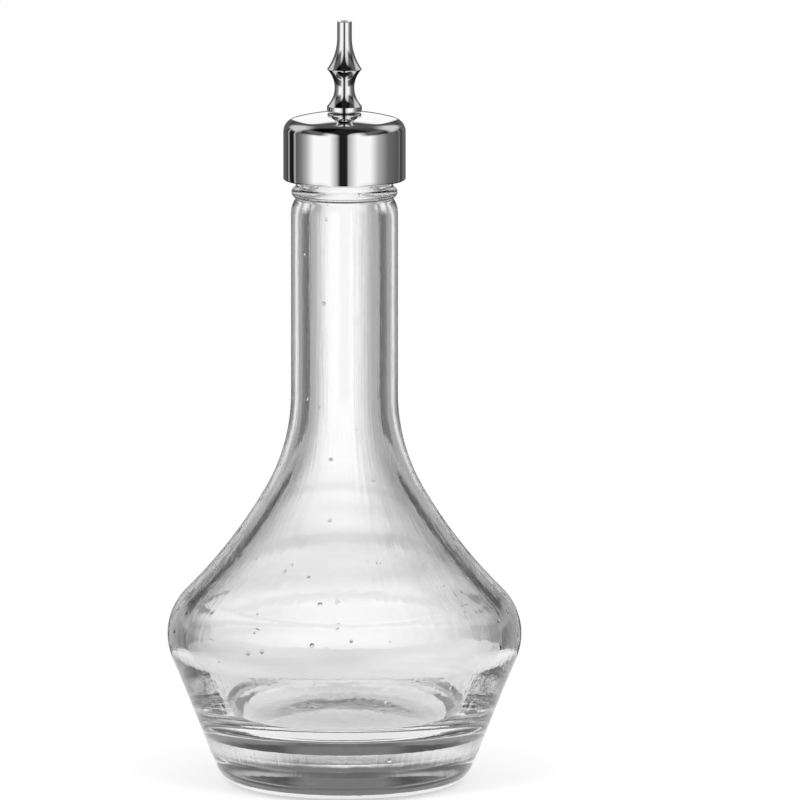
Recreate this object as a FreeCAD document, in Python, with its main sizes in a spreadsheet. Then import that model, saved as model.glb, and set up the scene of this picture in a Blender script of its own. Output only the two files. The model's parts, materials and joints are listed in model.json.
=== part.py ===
import FreeCAD, Part
import math
import os
import Sketcher
from FreeCAD import Vector

# A glass bitters bottle with a lined metal screw cap and a turned dasher spout.
# The origin is the middle of the underside, +Z is up along the bottle's axis, and lengths are millimetres.

SIZES = {
    # Glass body, outside
    "base_flat_radius": 20.3,
    "heel_radius": 5.55,
    "body_radius": 35.0,
    "widest_height": 29.6,
    "shoulder_radius": 11.75,
    "flank_foot_angle": 45.0,
    "flank_head_angle": 30.3,
    "flank_rise": 48.1,
    # Glass body, inside and underneath
    "body_wall": 3.4,
    "base_thickness": 12.8,
    "floor_inset": 16.3,
    "floor_corner_radius": 8.1,
    "pushup_radius": 17.0,
    "pushup_depth": 0.3,
    # Glass neck and screw finish
    "bore_radius": 7.1,
    "neck_wall": 3.45,
    "neck_length": 35.7,
    "neck_shoulder_height": 3.0,
    "groove_depth": 0.9,
    "groove_height": 2.6,
    "bead_section_radius": 1.05,
    "bead_standout": 0.8,
    "finish_step": 0.5,
    "finish_step_height": 0.9,
    "finish_height": 9.4,
    "lip_radius": 0.6,
    # Screw thread
    "thread_pitch": 3.175,
    "thread_depth": 1.0,
    "thread_section_radius": 0.95,
    "thread_turns": 1.5,
    "thread_top_drop": 1.9,
    "thread_gap": 0.3,
    "thread_root_sink": 0.3,
    "thread_cut_margin": 1.0,
    "liner_thread_turns": 1.25,
    "liner_thread_root_width": 1.3,
    "liner_thread_crest_width": 0.6,
    # Cap
    "liner_wall": 0.95,
    "liner_top_thickness": 2.45,
    "liner_recess": 0.5,
    "liner_gap": 0.05,
    "shell_wall": 0.6,
    "skirt_height": 9.5,
    "crown_edge_radius": 2.6,
    "dome_radius": 37.8,
    "washer_thickness": 1.2,
    "washer_overhang": 0.3,
    "washer_gap": 0.25,
    # Dasher spout and what clamps it
    "spout_bore_radius": 0.7,
    "shank_radius": 2.0,
    "shank_gap": 0.1,
    "shank_tail": 0.6,
    "collar_radius": 3.44,
    "collar_edge_radius": 0.35,
    "waist_radius": 1.95,
    "waist_arc_radius": 5.25,
    "waist_height": 4.8,
    "ridge_radius": 3.4,
    "ridge_land": 0.08,
    "tip_radius": 1.45,
    "tip_arc_radius": 11.0,
    "tip_length": 3.2,
    "tip_edge_radius": 0.15,
    "gasket_thickness": 0.8,
    "gasket_radius": 3.5,
    "nut_across_flats": 7.0,
    "nut_thickness": 2.2,
    "nut_chamfer": 0.4,
}

# Radii that follow from the sheet
NECK_RADIUS = "(sizes.bore_radius + sizes.neck_wall)"
GROOVE_RADIUS = f"({NECK_RADIUS} - sizes.groove_depth)"
FINISH_RADIUS = f"({GROOVE_RADIUS} - sizes.finish_step)"
THREAD_CREST = f"({FINISH_RADIUS} + sizes.thread_depth)"
LINER_BORE = f"({THREAD_CREST} + sizes.thread_gap)"
LINER_RADIUS = f"({LINER_BORE} + sizes.liner_wall)"
SHELL_INSIDE = f"({LINER_RADIUS} + sizes.liner_gap)"
CAP_RADIUS = f"({SHELL_INSIDE} + sizes.shell_wall)"
SHANK_HOLE = "(sizes.shank_radius + sizes.shank_gap)"

# Heights on the bottle
NECK_START = "(sizes.widest_height + sizes.flank_rise)"
NECK_TOP = f"({NECK_START} + sizes.neck_length)"
GROOVE_FOOT = f"({NECK_TOP} + sizes.neck_shoulder_height)"
GROOVE_TOP = f"({GROOVE_FOOT} + sizes.groove_height)"
FINISH_FOOT = f"({GROOVE_TOP} + sizes.finish_step_height)"
RIM = f"({FINISH_FOOT} + sizes.finish_height)"
THREAD_TOP = f"({RIM} - sizes.thread_top_drop)"
THREAD_START = f"({THREAD_TOP} - sizes.thread_turns * sizes.thread_pitch)"

# Heights in the cap, stacked from the glass rim
CEILING = f"({RIM} + sizes.washer_thickness)"
DOME_TOP = f"({CEILING} + sizes.liner_top_thickness + sizes.liner_gap + sizes.shell_wall)"
DOME_DROP = (
    "sqrt((sizes.dome_radius - sizes.crown_edge_radius)^2"
    f" - ({CAP_RADIUS} - sizes.crown_edge_radius)^2)"
)
CAP_FOOT = f"({DOME_TOP} - sizes.dome_radius + {DOME_DROP} - sizes.skirt_height)"
LINER_FOOT = f"({CAP_FOOT} + sizes.liner_recess)"
GASKET_FOOT = f"({CEILING} - sizes.gasket_thickness)"
NUT_FOOT = f"({GASKET_FOOT} - sizes.nut_thickness)"
SHANK_FOOT = f"({NUT_FOOT} - sizes.shank_tail)"

# The numbers that a sketch gives to the first and last end of a line or arc and to an arc's centre
FIRST, LAST, CENTRE = range(1, 4)
# and to its own origin and upright axis
ORIGIN, UPRIGHT_AXIS = range(-1, -3, -1)

doc = FreeCAD.newDocument("bitters_bottle")
sizes = doc.addObject("Spreadsheet::Sheet", "sizes")
for row, (alias, number) in enumerate(SIZES.items(), start=1):
    sizes.set(f"A{row}", alias)
    sizes.set(f"B{row}", str(number))
    sizes.setAlias(f"B{row}", alias)
doc.recompute()


def value(formula):
    """The present number of a formula written in the sheet's names."""
    return float(sizes.evalExpression(formula.replace("sizes.", "")))


def origin_plane(body, role):
    return next(plane for plane in body.Origin.OriginFeatures if plane.Role == role)


def new_body(name, height=None):
    """A body of that name whose own origin stands at a height on the bottle's axis."""
    body = doc.addObject("PartDesign::Body", name)
    body.Label = name
    if height:
        body.setExpression("Placement.Base.z", height)
    return body


class Outline:
    """A sketch on a body's XZ plane: x is the distance from the axis, y the height in the body."""

    def __init__(self, body, name, plane="XZ_Plane"):
        self.sketch = body.newObject("Sketcher::SketchObject", name)
        self.sketch.AttachmentSupport = (origin_plane(body, plane), "")
        self.sketch.MapMode = "FlatFace"

    def line(self, start, end):
        return self.sketch.addGeometry(Part.LineSegment(Vector(*start), Vector(*end)))

    def arc(self, centre, radius, first_degrees, last_degrees):
        """An arc drawn anticlockwise between two directions from its centre."""
        circle = Part.Circle(Vector(*centre), Vector(0, 0, 1), radius)
        first, last = math.radians(first_degrees), math.radians(last_degrees)
        return self.sketch.addGeometry(Part.ArcOfCircle(circle, first, last))

    def bind(self, constraint, formula):
        index = self.sketch.addConstraint(constraint)
        self.sketch.setExpression(f"Constraints[{index}]", formula)

    def across(self, piece, point, formula):
        place = Sketcher.Constraint("DistanceX", ORIGIN, FIRST, piece, point, value(formula))
        self.bind(place, formula)

    def up(self, piece, point, formula):
        place = Sketcher.Constraint("DistanceY", ORIGIN, FIRST, piece, point, value(formula))
        self.bind(place, formula)

    def at(self, piece, point, across, up):
        self.across(piece, point, across)
        self.up(piece, point, up)

    def radius(self, piece, formula):
        self.bind(Sketcher.Constraint("Radius", piece, value(formula)), formula)

    def join(self, piece, point, other, other_point):
        self.sketch.addConstraint(Sketcher.Constraint("Coincident", piece, point, other, other_point))

    def smooth(self, piece, point, other, other_point):
        """Join two ends so that one runs on from the other with no corner."""
        self.sketch.addConstraint(Sketcher.Constraint("Tangent", piece, point, other, other_point))

    def on_axis(self, piece, point):
        self.sketch.addConstraint(Sketcher.Constraint("PointOnObject", piece, point, UPRIGHT_AXIS))

    def level(self, piece):
        self.sketch.addConstraint(Sketcher.Constraint("Horizontal", piece))

    def upright(self, piece):
        self.sketch.addConstraint(Sketcher.Constraint("Vertical", piece))

    def polygon(self, corners):
        """Straight sides through corners that are each given by two formulas."""
        spots = [(value(across), value(up)) for across, up in corners]
        sides = [self.line(spot, spots[(i + 1) % len(spots)]) for i, spot in enumerate(spots)]
        for i, side in enumerate(sides):
            self.join(sides[i - 1], LAST, side, FIRST)
            self.at(side, FIRST, *corners[i])
        return sides


def turn(body, kind, outline, name):
    """Turn an outline once round the axis, to add glass or metal or to cut it away."""
    feature = body.newObject(kind, name)
    feature.Profile = outline.sketch
    feature.ReferenceAxis = (outline.sketch, ["V_Axis"])
    feature.Angle = 360
    return feature


def wind(body, outline, name, turns):
    """Wind an outline up the axis as one ridge of the screw thread."""
    ridge = body.newObject("PartDesign::AdditiveHelix", name)
    ridge.Profile = outline.sketch
    ridge.ReferenceAxis = (outline.sketch, ["V_Axis"])
    ridge.Mode = "pitch-turns-angle"
    ridge.setExpression("Pitch", "sizes.thread_pitch")
    ridge.setExpression("Turns", turns)
    return ridge


def vessel_wall(outline, floor, flat, heel, widest, shoulder, throat):
    """Draw a floor, a rounded heel, a straight taper, a shoulder, a flank and the start of a neck.

    Returns the floor line and the neck line. The curves are tangent all the way, so the taper's slope
    and the radii of the flank follow from the sizes.
    """
    floor_up, flat_across, heel_round = value(floor), value(flat), value(heel)
    widest_across, widest_up = value(widest), value("sizes.widest_height")
    shoulder_round, throat_across = value(shoulder), value(throat)
    throat_up = value(NECK_START)
    foot, head = value("sizes.flank_foot_angle"), value("sizes.flank_head_angle")

    def cos(degrees):
        return math.cos(math.radians(degrees))

    def sin(degrees):
        return math.sin(math.radians(degrees))

    hub = (widest_across - shoulder_round, widest_up)
    run, rise = hub[0] - flat_across, hub[1] - floor_up - heel_round
    lean = math.atan2(run, rise) + math.asin((shoulder_round - heel_round) / math.hypot(run, rise))
    slope = math.degrees(lean)
    heel_end = (flat_across + heel_round * cos(slope), floor_up + heel_round * (1 - sin(slope)))
    taper_end = (hub[0] + shoulder_round * cos(slope), hub[1] - shoulder_round * sin(slope))
    flank_foot = (hub[0] + shoulder_round * cos(foot), hub[1] + shoulder_round * sin(foot))

    # The two flank radii solve the pair of equations for how far the flank runs in and up.
    run_in, run_up = flank_foot[0] - throat_across, throat_up - flank_foot[1]
    flank_in, flank_up = cos(head) - cos(foot), sin(foot) - sin(head)
    blend_in, blend_up = 1 - cos(head), sin(head)
    scale = flank_in * blend_up - blend_in * flank_up
    flank_round = (run_in * blend_up - blend_in * run_up) / scale
    blend_round = (flank_in * run_up - flank_up * run_in) / scale
    flank_hub = (flank_foot[0] + flank_round * cos(foot), flank_foot[1] + flank_round * sin(foot))
    blend_hub = (throat_across + blend_round, throat_up)

    base = outline.line((0, floor_up), (flat_across, floor_up))
    corner = outline.arc((flat_across, floor_up + heel_round), heel_round, -90, -slope)
    taper = outline.line(heel_end, taper_end)
    bulge = outline.arc(hub, shoulder_round, -slope, foot)
    flank = outline.arc(flank_hub, flank_round, 180 + head, 180 + foot)
    blend = outline.arc(blend_hub, blend_round, 180, 180 + head)
    neck = outline.line((throat_across, throat_up), (throat_across, value(NECK_TOP)))

    outline.on_axis(base, FIRST)
    outline.level(base)
    outline.at(base, LAST, flat, floor)
    outline.smooth(base, LAST, corner, FIRST)
    outline.radius(corner, heel)
    outline.smooth(corner, LAST, taper, FIRST)
    outline.smooth(taper, LAST, bulge, FIRST)
    outline.at(bulge, CENTRE, f"{widest} - {shoulder}", "sizes.widest_height")
    outline.radius(bulge, shoulder)
    outline.up(bulge, LAST, f"sizes.widest_height + {shoulder} * sin(sizes.flank_foot_angle * 1 deg)")
    outline.smooth(bulge, LAST, flank, LAST)
    outline.smooth(flank, FIRST, blend, LAST)
    sweep = Sketcher.Constraint("Angle", blend, math.radians(head))
    outline.bind(sweep, "sizes.flank_head_angle * 1 deg")
    outline.smooth(blend, FIRST, neck, FIRST)
    outline.at(neck, FIRST, throat, NECK_START)
    outline.upright(neck)
    return base, neck


def make_glass_bottle():
    body = new_body("glass_bottle")

    outside = Outline(body, "glass_outside")
    base, neck = vessel_wall(
        outside, "0", "sizes.base_flat_radius", "sizes.heel_radius",
        "sizes.body_radius", "sizes.shoulder_radius", NECK_RADIUS,
    )
    outside.up(neck, LAST, NECK_TOP)
    depth, height = value("sizes.groove_depth"), value("sizes.neck_shoulder_height")
    round_over = (depth ** 2 + height ** 2) / (2 * depth)
    opening = math.degrees(math.asin(height / round_over))
    hub = (value(NECK_RADIUS) - round_over, value(NECK_TOP))
    neck_shoulder = outside.arc(hub, round_over, 0, opening)
    outside.smooth(neck, LAST, neck_shoulder, FIRST)
    outside.at(neck_shoulder, LAST, GROOVE_RADIUS, GROOVE_FOOT)

    wall, foot, rim = value(FINISH_RADIUS), value(FINISH_FOOT), value(RIM)
    lip_round = value("sizes.lip_radius")
    groove_spots = [(value(GROOVE_RADIUS), value(GROOVE_FOOT)), (value(GROOVE_RADIUS), value(GROOVE_TOP))]
    groove = outside.line(*groove_spots)
    step = outside.line(groove_spots[1], (wall, foot))
    finish = outside.line((wall, foot), (wall, rim - lip_round))
    lip = outside.arc((wall - lip_round, rim - lip_round), lip_round, 0, 90)
    top = outside.line((wall - lip_round, rim), (0, rim))
    axis = outside.line((0, rim), (0, 0))
    outside.join(neck_shoulder, LAST, groove, FIRST)
    outside.upright(groove)
    outside.up(groove, LAST, GROOVE_TOP)
    outside.join(groove, LAST, step, FIRST)
    outside.at(step, LAST, FINISH_RADIUS, FINISH_FOOT)
    outside.join(step, LAST, finish, FIRST)
    outside.upright(finish)
    outside.smooth(finish, LAST, lip, FIRST)
    outside.radius(lip, "sizes.lip_radius")
    outside.smooth(lip, LAST, top, FIRST)
    outside.up(top, LAST, RIM)
    outside.level(top)
    outside.join(top, LAST, axis, FIRST)
    outside.on_axis(axis, FIRST)
    outside.join(axis, LAST, base, FIRST)
    turn(body, "PartDesign::Revolution", outside, "glass_form")

    # The bead ring is a full round, half sunk in the groove under the cap.
    bead = Outline(body, "bead_section")
    bead_across = f"{GROOVE_RADIUS} + sizes.bead_standout - sizes.bead_section_radius"
    bead_up = f"{GROOVE_FOOT} + sizes.groove_height / 2"
    add_round(bead, bead_across, bead_up, "sizes.bead_section_radius")
    turn(body, "PartDesign::Revolution", bead, "bead_ring")

    ridge = Outline(body, "glass_thread_section")
    add_half_round(
        ridge, f"{FINISH_RADIUS} - sizes.thread_root_sink", f"{THREAD_CREST} - sizes.thread_section_radius",
        THREAD_START, "sizes.thread_section_radius",
    )
    wind(body, ridge, "glass_thread", "sizes.thread_turns")
    fade_thread_end(body, "thread_foot_fade", "0", THREAD_START, False)
    fade_thread_end(body, "thread_head_fade", "sizes.thread_turns * 360 - 90", THREAD_TOP, True)

    inside = Outline(body, "glass_inside")
    floor, bore = vessel_wall(
        inside, "sizes.base_thickness", "(sizes.body_radius - sizes.floor_inset)",
        "sizes.floor_corner_radius", "(sizes.body_radius - sizes.body_wall)",
        "(sizes.shoulder_radius - sizes.body_wall)", "sizes.bore_radius",
    )
    mouth_across = value("sizes.bore_radius")
    mouth = inside.arc((mouth_across + lip_round, rim - lip_round), lip_round, 90, 180)
    lid = inside.line((mouth_across + lip_round, rim), (0, rim))
    core = inside.line((0, rim), (0, value("sizes.base_thickness")))
    inside.smooth(bore, LAST, mouth, LAST)
    inside.radius(mouth, "sizes.lip_radius")
    inside.smooth(mouth, FIRST, lid, FIRST)
    inside.level(lid)
    inside.up(lid, LAST, RIM)
    inside.join(lid, LAST, core, FIRST)
    inside.on_axis(core, FIRST)
    inside.join(core, LAST, floor, FIRST)
    turn(body, "PartDesign::Groove", inside, "glass_hollow")

    # The underside is pushed up in the middle, so the bottle stands on a ring.
    pushup = Outline(body, "pushup_section")
    reach, rise = value("sizes.pushup_radius"), value("sizes.pushup_depth")
    vault = (reach ** 2 + rise ** 2) / (2 * rise)
    half_angle = math.degrees(math.asin(reach / vault))
    arch = pushup.arc((0, rise - vault), vault, 90 - half_angle, 90)
    middle = pushup.line((0, rise), (0, 0))
    ground = pushup.line((0, 0), (reach, 0))
    pushup.join(arch, LAST, middle, FIRST)
    pushup.join(middle, LAST, ground, FIRST)
    pushup.join(ground, LAST, arch, FIRST)
    pushup.join(ground, FIRST, ORIGIN, FIRST)
    pushup.level(ground)
    pushup.across(ground, LAST, "sizes.pushup_radius")
    pushup.on_axis(arch, CENTRE)
    pushup.on_axis(arch, LAST)
    pushup.up(arch, LAST, "sizes.pushup_depth")
    turn(body, "PartDesign::Groove", pushup, "pushup")
    return body


def add_round(outline, across, up, radius):
    """A full circle in a sketch."""
    circle = Part.Circle(Vector(value(across), value(up)), Vector(0, 0, 1), value(radius))
    piece = outline.sketch.addGeometry(circle)
    outline.at(piece, CENTRE, across, up)
    outline.radius(piece, radius)


def add_half_round(outline, back, across, up, radius):
    """A ridge section: a half circle towards the outside, with a square root behind it."""
    root, hub, middle, nose_round = value(back), value(across), value(up), value(radius)
    low, high = middle - nose_round, middle + nose_round
    lower = outline.line((root, low), (hub, low))
    nose = outline.arc((hub, middle), nose_round, -90, 90)
    upper = outline.line((hub, high), (root, high))
    rear = outline.line((root, high), (root, low))
    outline.smooth(lower, LAST, nose, FIRST)
    outline.smooth(nose, LAST, upper, FIRST)
    outline.join(upper, LAST, rear, FIRST)
    outline.join(rear, LAST, lower, FIRST)
    outline.at(nose, CENTRE, across, up)
    outline.radius(nose, radius)
    outline.level(lower)
    outline.level(upper)
    outline.upright(rear)
    outline.across(rear, FIRST, back)


def fade_thread_end(body, name, direction, height, behind):
    """Trim one end of the glass thread with a flat that touches the wall, so that the ridge fades out."""
    flat = Outline(body, f"{name}_section", "XY_Plane")
    near, far = FINISH_RADIUS, f"{THREAD_CREST} + sizes.thread_cut_margin"
    corners = [(near, "0"), (far, "0"), (far, far), (near, far)]
    if behind:
        corners = [(up, across) for across, up in corners]
    flat.polygon(corners)
    flat.sketch.setExpression("AttachmentOffset.Rotation.Angle", direction)
    flat.sketch.setExpression("AttachmentOffset.Base.z", height)
    cut = body.newObject("PartDesign::Pocket", name)
    cut.Profile = flat.sketch
    cut.Midplane = True
    cut.setExpression("Length", "sizes.thread_pitch")


def make_cap_shell():
    body = new_body("cap_shell", CAP_FOOT)
    shell = Outline(body, "shell_section")
    outer, inner = value(CAP_RADIUS), value(SHELL_INSIDE)
    wall, side = value("sizes.shell_wall"), value("sizes.skirt_height")
    edge, dome = value("sizes.crown_edge_radius"), value("sizes.dome_radius")
    hole = value(SHANK_HOLE)
    hem_round = wall / 2
    edge_hub = (outer - edge, side)
    dome_hub = (0, side - value(DOME_DROP))
    join_angle = math.degrees(math.atan2(edge_hub[1] - dome_hub[1], edge_hub[0]))
    outer_hole = math.degrees(math.acos(hole / dome))
    inner_hole = math.degrees(math.acos(hole / (dome - wall)))

    def on_dome(radius, angle):
        return (radius * math.cos(math.radians(angle)), dome_hub[1] + radius * math.sin(math.radians(angle)))

    hem = shell.arc((outer - hem_round, hem_round), hem_round, 180, 360)
    skirt = shell.line((outer, hem_round), (outer, side))
    crown = shell.arc(edge_hub, edge, 0, join_angle)
    top = shell.arc(dome_hub, dome, join_angle, outer_hole)
    rim = shell.line(on_dome(dome, outer_hole), on_dome(dome - wall, inner_hole))
    under = shell.arc(dome_hub, dome - wall, join_angle, inner_hole)
    inner_crown = shell.arc(edge_hub, edge - wall, 0, join_angle)
    inner_skirt = shell.line((inner, side), (inner, hem_round))
    shell.smooth(hem, LAST, skirt, FIRST)
    shell.upright(skirt)
    shell.smooth(skirt, LAST, crown, FIRST)
    shell.smooth(crown, LAST, top, FIRST)
    shell.join(top, LAST, rim, FIRST)
    shell.upright(rim)
    shell.join(rim, LAST, under, LAST)
    shell.smooth(under, FIRST, inner_crown, LAST)
    shell.smooth(inner_crown, FIRST, inner_skirt, FIRST)
    shell.smooth(inner_skirt, LAST, hem, FIRST)
    shell.radius(hem, "sizes.shell_wall / 2")
    shell.at(hem, CENTRE, f"{CAP_RADIUS} - sizes.shell_wall / 2", "sizes.shell_wall / 2")
    shell.radius(crown, "sizes.crown_edge_radius")
    shell.up(crown, CENTRE, "sizes.skirt_height")
    shell.on_axis(top, CENTRE)
    shell.radius(top, "sizes.dome_radius")
    shell.across(rim, FIRST, SHANK_HOLE)
    shell.join(under, CENTRE, top, CENTRE)
    shell.join(inner_crown, CENTRE, crown, CENTRE)
    turn(body, "PartDesign::Revolution", shell, "shell_form")
    return body


def make_cap_thread_liner():
    body = new_body("cap_thread_liner", LINER_FOOT)
    liner = Outline(body, "liner_section")
    inset = "(sizes.shell_wall + sizes.liner_gap)"
    edge_formula = f"(sizes.crown_edge_radius - {inset})"
    dome_formula = f"(sizes.dome_radius - {inset})"
    side_formula = "(sizes.skirt_height - sizes.liner_recess)"
    ceiling_formula = f"({CEILING} - {LINER_FOOT})"
    outer, bore, hole = value(LINER_RADIUS), value(LINER_BORE), value(SHANK_HOLE)
    edge, dome = value(edge_formula), value(dome_formula)
    side, ceiling = value(side_formula), value(ceiling_formula)
    edge_hub = (outer - edge, side)
    dome_hub = (0, side - value(DOME_DROP))
    join_angle = math.degrees(math.atan2(edge_hub[1] - dome_hub[1], edge_hub[0]))
    hole_angle = math.degrees(math.acos(hole / dome))
    hole_top = (hole, dome_hub[1] + dome * math.sin(math.radians(hole_angle)))

    foot = liner.line((bore, 0), (outer, 0))
    outside = liner.line((outer, 0), (outer, side))
    crown = liner.arc(edge_hub, edge, 0, join_angle)
    top = liner.arc(dome_hub, dome, join_angle, hole_angle)
    hole_wall = liner.line(hole_top, (hole, ceiling))
    roof = liner.line((hole, ceiling), (bore, ceiling))
    inside = liner.line((bore, ceiling), (bore, 0))
    liner.join(foot, LAST, outside, FIRST)
    liner.upright(outside)
    liner.smooth(outside, LAST, crown, FIRST)
    liner.smooth(crown, LAST, top, FIRST)
    liner.join(top, LAST, hole_wall, FIRST)
    liner.join(hole_wall, LAST, roof, FIRST)
    liner.join(roof, LAST, inside, FIRST)
    liner.join(inside, LAST, foot, FIRST)
    liner.at(foot, FIRST, LINER_BORE, "0")
    liner.at(foot, LAST, LINER_RADIUS, "0")
    liner.radius(crown, edge_formula)
    liner.up(crown, CENTRE, side_formula)
    liner.on_axis(top, CENTRE)
    liner.radius(top, dome_formula)
    liner.upright(hole_wall)
    liner.at(roof, FIRST, SHANK_HOLE, ceiling_formula)
    liner.level(roof)
    liner.upright(inside)
    turn(body, "PartDesign::Revolution", liner, "liner_form")

    # The liner's ridge runs half a pitch above the glass one, in the channel between its turns.
    ridge = Outline(body, "liner_thread_section")
    middle = f"({THREAD_START} + sizes.thread_pitch / 2 - {LINER_FOOT})"
    crest = f"{FINISH_RADIUS} + sizes.thread_gap"
    root = f"{LINER_BORE} + sizes.thread_root_sink"
    half_root = "sizes.liner_thread_root_width / 2"
    half_crest = "sizes.liner_thread_crest_width / 2"
    ridge.polygon([
        (root, f"{middle} - {half_root}"),
        (root, f"{middle} + {half_root}"),
        (crest, f"{middle} + {half_crest}"),
        (crest, f"{middle} - {half_crest}"),
    ])
    wind(body, ridge, "liner_thread", "sizes.liner_thread_turns")
    return body


def make_ring(name, foot, inner, outer, thickness):
    """A flat ring round the bottle's axis."""
    body = new_body(name, foot)
    section = Outline(body, f"{name}_section")
    section.polygon([(inner, "0"), (outer, "0"), (outer, thickness), (inner, thickness)])
    turn(body, "PartDesign::Revolution", section, f"{name}_form")
    return body


def make_dasher_spout():
    body = new_body("dasher_spout", SHANK_FOOT)
    spout = Outline(body, "spout_section")
    seat_formula = f"({DOME_TOP} - {SHANK_FOOT})"
    waist_formula = f"({seat_formula} + sizes.waist_height)"
    bore, shank, seat = value("sizes.spout_bore_radius"), value("sizes.shank_radius"), value(seat_formula)
    collar, collar_round = value("sizes.collar_radius"), value("sizes.collar_edge_radius")
    waist_round, ridge = value("sizes.waist_arc_radius"), value("sizes.ridge_radius")
    waist_hub = (value("sizes.waist_radius") + waist_round, value(waist_formula))
    tip, tip_round = value("sizes.tip_radius"), value("sizes.tip_arc_radius")
    tip_edge = value("sizes.tip_edge_radius")

    collar_turn = math.degrees(math.acos((waist_hub[0] - collar) / waist_round))
    ridge_turn = math.degrees(math.acos((waist_hub[0] - ridge) / waist_round))
    collar_top = waist_hub[1] - waist_round * math.sin(math.radians(collar_turn))
    ridge_foot = waist_hub[1] + waist_round * math.sin(math.radians(ridge_turn))
    ridge_top = ridge_foot + value("sizes.ridge_land")
    tip_turn = math.degrees(math.acos(1 - (ridge - tip) / tip_round))
    tip_foot = ridge_top + tip_round * math.sin(math.radians(tip_turn))
    tip_top = tip_foot + value("sizes.tip_length")

    end = spout.line((bore, 0), (shank, 0))
    stem = spout.line((shank, 0), (shank, seat))
    seat_face = spout.line((shank, seat), (collar - collar_round, seat))
    collar_edge = spout.arc((collar - collar_round, seat + collar_round), collar_round, -90, 0)
    collar_side = spout.line((collar, seat + collar_round), (collar, collar_top))
    waist = spout.arc(waist_hub, waist_round, 180 - ridge_turn, 180 + collar_turn)
    land = spout.line((ridge, ridge_foot), (ridge, ridge_top))
    sweep = spout.arc((tip + tip_round, tip_foot), tip_round, 180, 180 + tip_turn)
    tube = spout.line((tip, tip_foot), (tip, tip_top - tip_edge))
    tube_edge = spout.arc((tip - tip_edge, tip_top - tip_edge), tip_edge, 0, 90)
    mouth = spout.line((tip - tip_edge, tip_top), (bore, tip_top))
    hole = spout.line((bore, tip_top), (bore, 0))
    spout.join(end, LAST, stem, FIRST)
    spout.join(stem, LAST, seat_face, FIRST)
    spout.smooth(seat_face, LAST, collar_edge, FIRST)
    spout.smooth(collar_edge, LAST, collar_side, FIRST)
    spout.join(collar_side, LAST, waist, LAST)
    spout.join(waist, FIRST, land, FIRST)
    spout.join(land, LAST, sweep, LAST)
    spout.smooth(sweep, FIRST, tube, FIRST)
    spout.smooth(tube, LAST, tube_edge, FIRST)
    spout.smooth(tube_edge, LAST, mouth, FIRST)
    spout.join(mouth, LAST, hole, FIRST)
    spout.join(hole, LAST, end, FIRST)
    spout.at(end, FIRST, "sizes.spout_bore_radius", "0")
    spout.at(end, LAST, "sizes.shank_radius", "0")
    spout.upright(stem)
    spout.up(stem, LAST, seat_formula)
    spout.level(seat_face)
    spout.radius(collar_edge, "sizes.collar_edge_radius")
    spout.upright(collar_side)
    spout.across(collar_side, LAST, "sizes.collar_radius")
    spout.radius(waist, "sizes.waist_arc_radius")
    spout.at(waist, CENTRE, "sizes.waist_radius + sizes.waist_arc_radius", waist_formula)
    spout.across(land, FIRST, "sizes.ridge_radius")
    spout.upright(land)
    length = Sketcher.Constraint("DistanceY", land, FIRST, land, LAST, value("sizes.ridge_land"))
    spout.bind(length, "sizes.ridge_land")
    spout.radius(sweep, "sizes.tip_arc_radius")
    spout.upright(tube)
    spout.across(tube, FIRST, "sizes.tip_radius")
    spout.radius(tube_edge, "sizes.tip_edge_radius")
    spout.level(mouth)
    height = Sketcher.Constraint("DistanceY", tube, FIRST, mouth, LAST, value("sizes.tip_length"))
    spout.bind(height, "sizes.tip_length")
    spout.upright(hole)
    turn(body, "PartDesign::Revolution", spout, "spout_form")
    return body


def make_spout_nut():
    body = new_body("spout_nut", NUT_FOOT)
    corner = "sizes.nut_across_flats / 2 / cos(30 deg)"
    hexagon = body.newObject("PartDesign::AdditivePrism", "nut_hexagon")
    hexagon.Polygon = 6
    hexagon.setExpression("Circumradius", corner)
    hexagon.setExpression("Height", "sizes.nut_thickness")
    bore = body.newObject("PartDesign::SubtractiveCylinder", "nut_bore")
    bore.setExpression("Radius", SHANK_HOLE)
    bore.setExpression("Height", "sizes.nut_thickness")

    # The corners are turned off below, on the side that shows from inside the cap.
    bevel = Outline(body, "nut_bevel_section")
    outer = f"{corner} + sizes.nut_chamfer"
    bevel.polygon([
        ("sizes.nut_across_flats / 2", "0"),
        (outer, "0"),
        (outer, f"(({outer}) - sizes.nut_across_flats / 2) * tan(30 deg)"),
    ])
    turn(body, "PartDesign::Groove", bevel, "nut_bevel")
    return body


bodies = [
    make_glass_bottle(),
    make_cap_shell(),
    make_cap_thread_liner(),
    make_ring(
        "seal_washer", RIM, "sizes.bore_radius - sizes.washer_overhang",
        f"{LINER_BORE} - sizes.washer_gap", "sizes.washer_thickness",
    ),
    make_dasher_spout(),
    make_ring("spout_gasket", GASKET_FOOT, SHANK_HOLE, "sizes.gasket_radius", "sizes.gasket_thickness"),
    make_spout_nut(),
]
doc.recompute()

for item in doc.Objects:
    if {"Invalid", "Error"} & set(item.State):
        raise RuntimeError(f"{item.Label} did not build: {item.State}")
for body in bodies:
    if body.Shape.isNull() or not body.Shape.isValid():
        raise RuntimeError(f"{body.Label} has no sound shape")
    if len(body.Shape.Solids) != 1:
        raise RuntimeError(f"{body.Label} is {len(body.Shape.Solids)} solids, not one")

os.makedirs("parts", exist_ok=True)
for body in bodies:
    body.Shape.exportStep(f"parts/{body.Label}.step")
    box = body.Shape.BoundBox
    print(f"{body.Label}: {body.Shape.Volume:.1f} mm3, z {box.ZMin:.2f} to {box.ZMax:.2f}")
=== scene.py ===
# %% [markdown]
# # A bitters bottle in clear glass and polished metal
# The bottle was built first as solids, and this lesson gives those solids their looks.
# Nearly every piece is round, so nearly every piece starts as a thin outline that is turned round the
# bottle's axis, as a glass mould or a lathe would make it.
# Lengths are metres and +Z is up. The frame brings the solids and the bodies that the new pieces ride on.

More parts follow.
